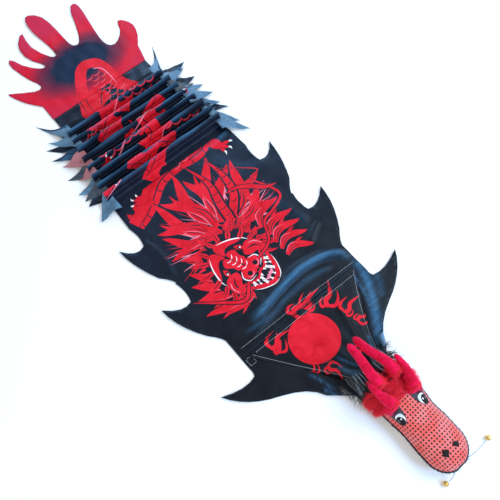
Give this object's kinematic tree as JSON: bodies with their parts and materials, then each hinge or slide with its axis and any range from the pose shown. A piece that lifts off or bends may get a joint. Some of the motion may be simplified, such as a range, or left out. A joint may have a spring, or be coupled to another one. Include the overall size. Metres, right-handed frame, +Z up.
{
  "type": "ribbon dragon kite",
  "caption": "Cloth dragon streamer lying flat: pleated ribbon body with flame fins, fingered tail fin, hooded neck and a stuffed horned head with bell-tipped whiskers.",
  "frame": {"origin": "on the floor, under the middle of the object's box", "axes": "+X along the body from the tail fin to the snout, +Y across towards the pieces named right, which is the right-hand side for a viewer who faces the snout, +Z up; the snout and the lengthwise centre line lie along +X"},
  "size_m": [2.101, 0.7, 0.1179],
  "materials": {
    "black_satin": "satin",
    "red_print": "satin",
    "webbing": "matte",
    "stitching": "matte",
    "crimson_plush": "matte",
    "red_fur": "matte",
    "black_fur": "matte",
    "coral_fabric": "matte",
    "cream_fabric": "matte",
    "red_lining": "matte",
    "black_trim": "satin",
    "eye_print": "satin",
    "filling": "matte",
    "brass": "polished",
    "steel": "polished",
    "whisker_wire": "satin"
  },
  "bodies": {
    "ribbon": {"middle_panel": "black_satin", "front_panel": "black_satin", "neck_hood": "black_satin", "spine_webbing": "webbing", "hood_seam_tape": "webbing", "seam_patch_left": "stitching", "seam_patch_right": "stitching", "neck_band": "webbing"},
    "pleat_01": {"pleat_panel_01": "black_satin"},
    "pleat_02": {"pleat_panel_02": "black_satin"},
    "pleat_03": {"pleat_panel_03": "black_satin"},
    "pleat_04": {"pleat_panel_04": "black_satin"},
    "pleat_05": {"pleat_panel_05": "black_satin"},
    "pleat_06": {"pleat_panel_06": "black_satin"},
    "pleat_07": {"pleat_panel_07": "black_satin"},
    "pleat_08": {"pleat_panel_08": "black_satin"},
    "pleat_09": {"pleat_panel_09": "black_satin"},
    "pleat_10": {"pleat_panel_10": "black_satin"},
    "pleat_11": {"pleat_panel_11": "black_satin"},
    "pleat_12": {"pleat_panel_12": "black_satin"},
    "pleat_13": {"pleat_panel_13": "black_satin"},
    "pleat_14": {"pleat_panel_14": "black_satin"},
    "pleat_15": {"pleat_panel_15": "black_satin"},
    "pleat_16": {"pleat_panel_16": "black_satin"},
    "tail": {"tail_panel": "black_satin"},
    "tail_fin": {"tail_fin": "red_print"},
    "neck": {"neck_strap": "webbing"},
    "skull": {"skull_filling": "filling", "mane_collar": "red_fur", "neck_ruff": "black_fur", "lower_jaw": "cream_fabric", "jaw_lining": "red_lining", "tow_webbing": "webbing"},
    "muzzle": {"muzzle_filling": "filling", "muzzle_skin": "coral_fabric", "palate_lining": "red_lining", "muzzle_piping": "black_trim", "eye_left": "eye_print", "eye_right": "eye_print", "nostril_left": "black_trim", "nostril_right": "black_trim", "whisker_crimp_left": "whisker_wire", "whisker_crimp_right": "whisker_wire"},
    "horn_left": {"horn_left": "crimson_plush"},
    "ear_left": {"ear_left": "crimson_plush"},
    "whisker_left": {"whisker_left": "whisker_wire"},
    "bell_left": {"bell_left": "brass", "bell_pellet_left": "steel"},
    "horn_right": {"horn_right": "crimson_plush"},
    "ear_right": {"ear_right": "crimson_plush"},
    "whisker_right": {"whisker_right": "whisker_wire"},
    "bell_right": {"bell_right": "brass", "bell_pellet_right": "steel"},
    "tow_ring": {"tow_ring": "steel"},
    "swivel": {"swivel_barrel": "brass"},
    "swivel_eye": {"swivel_eye": "steel"}
  },
  "joints": [
    {"name": "pleats_open", "type": "hinge", "parent": "ribbon", "child": "pleat_01", "pos_m": [-0.229, 0, 0.0006], "axis": [0, -1, 0], "range_deg": [0, 68]},
    {"name": "fold_01_open", "type": "hinge", "parent": "pleat_01", "child": "pleat_02", "pos_m": [-0.24773, 0, 0.04696], "axis": [0, 1, 0], "range_deg": [0, 136]},
    {"name": "fold_02_open", "type": "hinge", "parent": "pleat_02", "child": "pleat_03", "pos_m": [-0.26646, 0, 0.0006], "axis": [0, -1, 0], "range_deg": [0, 136]},
    {"name": "fold_03_open", "type": "hinge", "parent": "pleat_03", "child": "pleat_04", "pos_m": [-0.28519, 0, 0.04696], "axis": [0, 1, 0], "range_deg": [0, 136]},
    {"name": "fold_04_open", "type": "hinge", "parent": "pleat_04", "child": "pleat_05", "pos_m": [-0.30392, 0, 0.0006], "axis": [0, -1, 0], "range_deg": [0, 136]},
    {"name": "fold_05_open", "type": "hinge", "parent": "pleat_05", "child": "pleat_06", "pos_m": [-0.32265, 0, 0.04696], "axis": [0, 1, 0], "range_deg": [0, 136]},
    {"name": "fold_06_open", "type": "hinge", "parent": "pleat_06", "child": "pleat_07", "pos_m": [-0.34138, 0, 0.0006], "axis": [0, -1, 0], "range_deg": [0, 136]},
    {"name": "fold_07_open", "type": "hinge", "parent": "pleat_07", "child": "pleat_08", "pos_m": [-0.36011, 0, 0.04696], "axis": [0, 1, 0], "range_deg": [0, 136]},
    {"name": "fold_08_open", "type": "hinge", "parent": "pleat_08", "child": "pleat_09", "pos_m": [-0.37884, 0, 0.0006], "axis": [0, -1, 0], "range_deg": [0, 136]},
    {"name": "fold_09_open", "type": "hinge", "parent": "pleat_09", "child": "pleat_10", "pos_m": [-0.39757, 0, 0.04696], "axis": [0, 1, 0], "range_deg": [0, 136]},
    {"name": "fold_10_open", "type": "hinge", "parent": "pleat_10", "child": "pleat_11", "pos_m": [-0.4163, 0, 0.0006], "axis": [0, -1, 0], "range_deg": [0, 136]},
    {"name": "fold_11_open", "type": "hinge", "parent": "pleat_11", "child": "pleat_12", "pos_m": [-0.43503, 0, 0.04696], "axis": [0, 1, 0], "range_deg": [0, 136]},
    {"name": "fold_12_open", "type": "hinge", "parent": "pleat_12", "child": "pleat_13", "pos_m": [-0.45376, 0, 0.0006], "axis": [0, -1, 0], "range_deg": [0, 136]},
    {"name": "fold_13_open", "type": "hinge", "parent": "pleat_13", "child": "pleat_14", "pos_m": [-0.47249, 0, 0.04696], "axis": [0, 1, 0], "range_deg": [0, 136]},
    {"name": "fold_14_open", "type": "hinge", "parent": "pleat_14", "child": "pleat_15", "pos_m": [-0.49123, 0, 0.0006], "axis": [0, -1, 0], "range_deg": [0, 136]},
    {"name": "fold_15_open", "type": "hinge", "parent": "pleat_15", "child": "pleat_16", "pos_m": [-0.50996, 0, 0.04696], "axis": [0, 1, 0], "range_deg": [0, 136]},
    {"name": "tail_fold_open", "type": "hinge", "parent": "pleat_16", "child": "tail", "pos_m": [-0.52868, 0, 0.0006], "axis": [0, -1, 0], "range_deg": [0, 68]},
    {"name": "tail_fin_fold", "type": "hinge", "parent": "tail", "child": "tail_fin", "pos_m": [-0.64, 0, 0.0006], "axis": [0, 1, 0], "range_deg": [0, 140]},
    {"name": "neck_turn", "type": "hinge", "parent": "ribbon", "child": "neck", "pos_m": [0.742, 0.024, 0.0021], "axis": [0, 0, 1], "range_deg": [-20, 20]},
    {"name": "neck_nod", "type": "hinge", "parent": "neck", "child": "skull", "pos_m": [0.744, 0.024, 0.006], "axis": [0, -1, 0], "range_deg": [0, 15]},
    {"name": "muzzle_lift", "type": "hinge", "parent": "skull", "child": "muzzle", "pos_m": [0.798, 0.024, 0.078], "axis": [0, -1, 0], "range_deg": [0, 18]},
    {"name": "horn_left_flex", "type": "hinge", "parent": "skull", "child": "horn_left", "pos_m": [0.736, -0.008, 0.101], "axis": [0, 1, 0], "range_deg": [0, 40], "stiffness_Nm_per_rad": 0.04},
    {"name": "horn_right_flex", "type": "hinge", "parent": "skull", "child": "horn_right", "pos_m": [0.74, 0.054, 0.101], "axis": [0, 1, 0], "range_deg": [0, 40], "stiffness_Nm_per_rad": 0.04},
    {"name": "ear_left_flex", "type": "hinge", "parent": "skull", "child": "ear_left", "pos_m": [0.796, -0.018, 0.096], "axis": [0, 1, 0], "range_deg": [0, 35], "stiffness_Nm_per_rad": 0.03},
    {"name": "ear_right_flex", "type": "hinge", "parent": "skull", "child": "ear_right", "pos_m": [0.798, 0.064, 0.096], "axis": [0, 1, 0], "range_deg": [0, 35], "stiffness_Nm_per_rad": 0.03},
    {"name": "whisker_left_flex", "type": "hinge", "parent": "muzzle", "child": "whisker_left", "pos_m": [1.027, 0.008, 0.029], "axis": [0, 0, 1], "range_deg": [-20, 20], "stiffness_Nm_per_rad": 0.004},
    {"name": "whisker_right_flex", "type": "hinge", "parent": "muzzle", "child": "whisker_right", "pos_m": [1.027, 0.048, 0.029], "axis": [0, 0, 1], "range_deg": [-20, 20], "stiffness_Nm_per_rad": 0.004},
    {"name": "bell_left_swing", "type": "hinge", "parent": "whisker_left", "child": "bell_left", "pos_m": [1.042, -0.025, 0.012], "axis": [0, 0, 1], "range_deg": [-35, 35]},
    {"name": "bell_right_swing", "type": "hinge", "parent": "whisker_right", "child": "bell_right", "pos_m": [1.036, 0.13, 0.012], "axis": [0, 0, 1], "range_deg": [-35, 35]},
    {"name": "tow_ring_swing", "type": "hinge", "parent": "skull", "child": "tow_ring", "pos_m": [0.7875, 0.024, 0.009], "axis": [0, 1, 0], "range_deg": [0, 20]},
    {"name": "swivel_swing", "type": "hinge", "parent": "tow_ring", "child": "swivel", "pos_m": [0.771, 0.024, 0.009], "axis": [0, 1, 0], "range_deg": [0, 25]},
    {"name": "swivel_spin", "type": "hinge", "parent": "swivel", "child": "swivel_eye", "pos_m": [0.76, 0.024, 0.009], "axis": [1, 0, 0], "continuous": true}
  ],
  "couplings": [
    {"joint": "fold_01_open", "follows": "pleats_open", "ratio": 2},
    {"joint": "fold_02_open", "follows": "pleats_open", "ratio": 2},
    {"joint": "fold_03_open", "follows": "pleats_open", "ratio": 2},
    {"joint": "fold_04_open", "follows": "pleats_open", "ratio": 2},
    {"joint": "fold_05_open", "follows": "pleats_open", "ratio": 2},
    {"joint": "fold_06_open", "follows": "pleats_open", "ratio": 2},
    {"joint": "fold_07_open", "follows": "pleats_open", "ratio": 2},
    {"joint": "fold_08_open", "follows": "pleats_open", "ratio": 2},
    {"joint": "fold_09_open", "follows": "pleats_open", "ratio": 2},
    {"joint": "fold_10_open", "follows": "pleats_open", "ratio": 2},
    {"joint": "fold_11_open", "follows": "pleats_open", "ratio": 2},
    {"joint": "fold_12_open", "follows": "pleats_open", "ratio": 2},
    {"joint": "fold_13_open", "follows": "pleats_open", "ratio": 2},
    {"joint": "fold_14_open", "follows": "pleats_open", "ratio": 2},
    {"joint": "fold_15_open", "follows": "pleats_open", "ratio": 2},
    {"joint": "tail_fold_open", "follows": "pleats_open", "ratio": 1}
  ]
}
